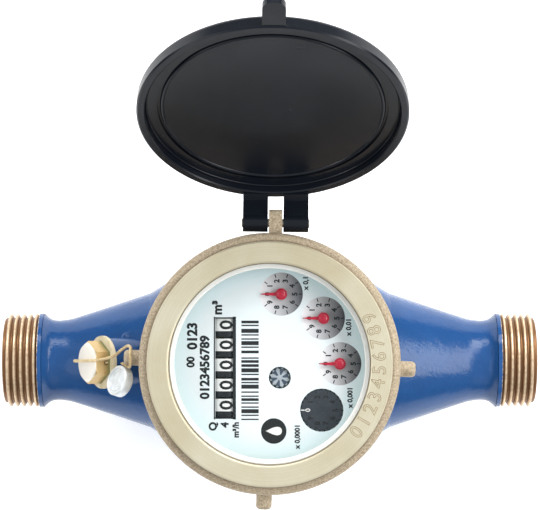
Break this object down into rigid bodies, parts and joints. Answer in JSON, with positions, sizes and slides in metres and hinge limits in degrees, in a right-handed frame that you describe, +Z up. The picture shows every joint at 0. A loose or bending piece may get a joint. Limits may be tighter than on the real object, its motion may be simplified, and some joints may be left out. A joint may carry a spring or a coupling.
{
  "type": "water meter",
  "caption": "Blue cast water meter with threaded pipe ends, a screwed brass head ring, a turning dry dial register and a hinged black lid standing open.",
  "frame": {"origin": "centre of the flat foot, on the axis of the head", "axes": "+X along the pipe with the flow, +Z up, the lid's hinge towards +Y"},
  "size_m": [0.19, 0.1674, 0.1563],
  "materials": {
    "blue_casting": "glossy blue stove enamel over cast brass",
    "cast_brass": "as cast at the rim, machined on the face",
    "cap_brass": "machined, lightly tarnished",
    "lid_plastic": "moulded black, semi-gloss",
    "pin_steel": "drawn",
    "seal_metal": "bright, lightly marked",
    "white_plastic": "moulded white",
    "impeller_plastic": "moulded",
    "magnet": "sintered ferrite",
    "plate_grey": "moulded grey",
    "black_rubber": "moulded",
    "pale_gasket": "pale fibre",
    "can_brass": "drawn",
    "dial_white": "printed white",
    "drum_white": "moulded white",
    "clear_glass": "polished",
    "star_grey": "moulded",
    "disc_black": "printed dark grey",
    "pointer_red": "moulded crimson"
  },
  "bodies": {
    "root": {"body_casting": "blue_casting", "chamber_strainer": "white_plastic", "chamber_cup": "white_plastic", "chamber_cover": "white_plastic", "impeller_pivot": "pin_steel", "pressure_plate": "plate_grey", "body_seal_ring": "black_rubber", "head_ring": "cast_brass", "slip_ring": "white_plastic", "hinge_pin": "pin_steel", "regulator_screw": "cap_brass", "regulator_oring": "black_rubber", "cap_gasket": "pale_gasket", "regulator_cap": "cap_brass", "seal_wire": "seal_metal", "seal_button": "seal_metal"},
    "lid": {"lid": "lid_plastic"},
    "register": {"register_can": "can_brass", "gear_plate": "white_plastic", "plate_posts": "can_brass", "dial_plate": "dial_white", "bezel_ring": "white_plastic", "dial_glass": "clear_glass", "glass_gasket": "black_rubber", "drum_shaft": "pin_steel"},
    "impeller": {"impeller": "impeller_plastic", "impeller_magnet": "magnet"},
    "driven_magnet": {"driven_magnet": "magnet"},
    "star_wheel": {"star_wheel": "star_grey"},
    "pulse_disc": {"pulse_disc": "disc_black", "pulse_arbor": "pin_steel"},
    "reduction_wheel": {"reduction_wheel": "white_plastic"},
    "idler_1": {"idler_1": "white_plastic"},
    "pointer_1": {"pointer_1": "pointer_red", "pointer_arbor_1": "pin_steel"},
    "idler_2": {"idler_2": "white_plastic"},
    "pointer_2": {"pointer_2": "pointer_red", "pointer_arbor_2": "pin_steel"},
    "idler_3": {"idler_3": "white_plastic"},
    "pointer_3": {"pointer_3": "pointer_red", "pointer_arbor_3": "pin_steel"},
    "number_drum_1": {"number_drum_1": "drum_white"},
    "number_drum_2": {"number_drum_2": "drum_white"},
    "number_drum_3": {"number_drum_3": "drum_white"},
    "number_drum_4": {"number_drum_4": "drum_white"},
    "number_drum_5": {"number_drum_5": "drum_white"}
  },
  "joints": [
    {"name": "lid_hinge", "type": "hinge", "parent": "root", "child": "lid", "pos_m": [0.00203, 0.04836, 0.0754], "axis": [0.9999, -0.0122, 0], "range_deg": [0, 124.5]},
    {"name": "register_turn", "type": "hinge", "parent": "root", "child": "register", "pos_m": [0, 0, 0.0576], "axis": [0, 0, 1], "range_deg": [-175, 175]},
    {"name": "impeller_spin", "type": "hinge", "parent": "root", "child": "impeller", "pos_m": [0, 0, 0.03], "axis": [0, 0, 1], "continuous": true},
    {"name": "driven_magnet_spin", "type": "hinge", "parent": "register", "child": "driven_magnet", "pos_m": [0, 0, 0.06], "axis": [0, 0, 1], "continuous": true},
    {"name": "star_spin", "type": "hinge", "parent": "register", "child": "star_wheel", "pos_m": [0.0035, -0.005, 0.06], "axis": [0, 0, 1], "continuous": true},
    {"name": "pulse_disc_spin", "type": "hinge", "parent": "register", "child": "pulse_disc", "pos_m": [0.01798, -0.01619, 0.073], "axis": [0, 0, 1], "continuous": true},
    {"name": "pointer_1_spin", "type": "hinge", "parent": "register", "child": "pointer_1", "pos_m": [0.0242, -0.00017, 0.073], "axis": [0, 0, 1], "continuous": true},
    {"name": "pointer_2_spin", "type": "hinge", "parent": "register", "child": "pointer_2", "pos_m": [0.01854, 0.01555, 0.073], "axis": [0, 0, 1], "continuous": true},
    {"name": "pointer_3_spin", "type": "hinge", "parent": "register", "child": "pointer_3", "pos_m": [0.00399, 0.02387, 0.073], "axis": [0, 0, 1], "continuous": true},
    {"name": "number_drum_1_spin", "type": "hinge", "parent": "register", "child": "number_drum_1", "pos_m": [-0.01485, -0.00165, 0.0662], "axis": [0, 1, 0], "continuous": true},
    {"name": "number_drum_2_spin", "type": "hinge", "parent": "register", "child": "number_drum_2", "pos_m": [-0.01485, -0.00165, 0.0662], "axis": [0, 1, 0], "continuous": true},
    {"name": "number_drum_3_spin", "type": "hinge", "parent": "register", "child": "number_drum_3", "pos_m": [-0.01485, -0.00165, 0.0662], "axis": [0, 1, 0], "continuous": true},
    {"name": "number_drum_4_spin", "type": "hinge", "parent": "register", "child": "number_drum_4", "pos_m": [-0.01485, -0.00165, 0.0662], "axis": [0, 1, 0], "continuous": true},
    {"name": "number_drum_5_spin", "type": "hinge", "parent": "register", "child": "number_drum_5", "pos_m": [-0.01485, -0.00165, 0.0662], "axis": [0, 1, 0], "continuous": true},
    {"name": "reduction_wheel_spin", "type": "hinge", "parent": "register", "child": "reduction_wheel", "pos_m": [0.01103, -0.00978, 0.073], "axis": [0, 0, 1], "continuous": true},
    {"name": "idler_1_spin", "type": "hinge", "parent": "register", "child": "idler_1", "pos_m": [0.0219, -0.00822, 0.073], "axis": [0, 0, 1], "continuous": true},
    {"name": "idler_2_spin", "type": "hinge", "parent": "register", "child": "idler_2", "pos_m": [0.02199, 0.00818, 0.073], "axis": [0, 0, 1], "continuous": true},
    {"name": "idler_3_spin", "type": "hinge", "parent": "register", "child": "idler_3", "pos_m": [0.01142, 0.02049, 0.073], "axis": [0, 0, 1], "continuous": true}
  ],
  "couplings": [
    {"joint": "driven_magnet_spin", "follows": "impeller_spin", "ratio": 1},
    {"joint": "star_spin", "follows": "impeller_spin", "ratio": -0.5},
    {"joint": "reduction_wheel_spin", "follows": "impeller_spin", "ratio": 0.16},
    {"joint": "pulse_disc_spin", "follows": "impeller_spin", "ratio": -0.047407},
    {"joint": "idler_1_spin", "follows": "impeller_spin", "ratio": 0.01517},
    {"joint": "pointer_1_spin", "follows": "impeller_spin", "ratio": -0.0047407},
    {"joint": "idler_2_spin", "follows": "impeller_spin", "ratio": 0.001517},
    {"joint": "pointer_2_spin", "follows": "impeller_spin", "ratio": -0.00047407},
    {"joint": "idler_3_spin", "follows": "impeller_spin", "ratio": 0.0001517},
    {"joint": "pointer_3_spin", "follows": "impeller_spin", "ratio": -0.000047407},
    {"joint": "number_drum_1_spin", "follows": "impeller_spin", "ratio": -0.0000047407},
    {"joint": "number_drum_2_spin", "follows": "impeller_spin", "ratio": -0.00000047407},
    {"joint": "number_drum_3_spin", "follows": "impeller_spin", "ratio": -0.000000047407},
    {"joint": "number_drum_4_spin", "follows": "impeller_spin", "ratio": -0.0000000047407},
    {"joint": "number_drum_5_spin", "follows": "impeller_spin", "ratio": -0.00000000047407}
  ]
}
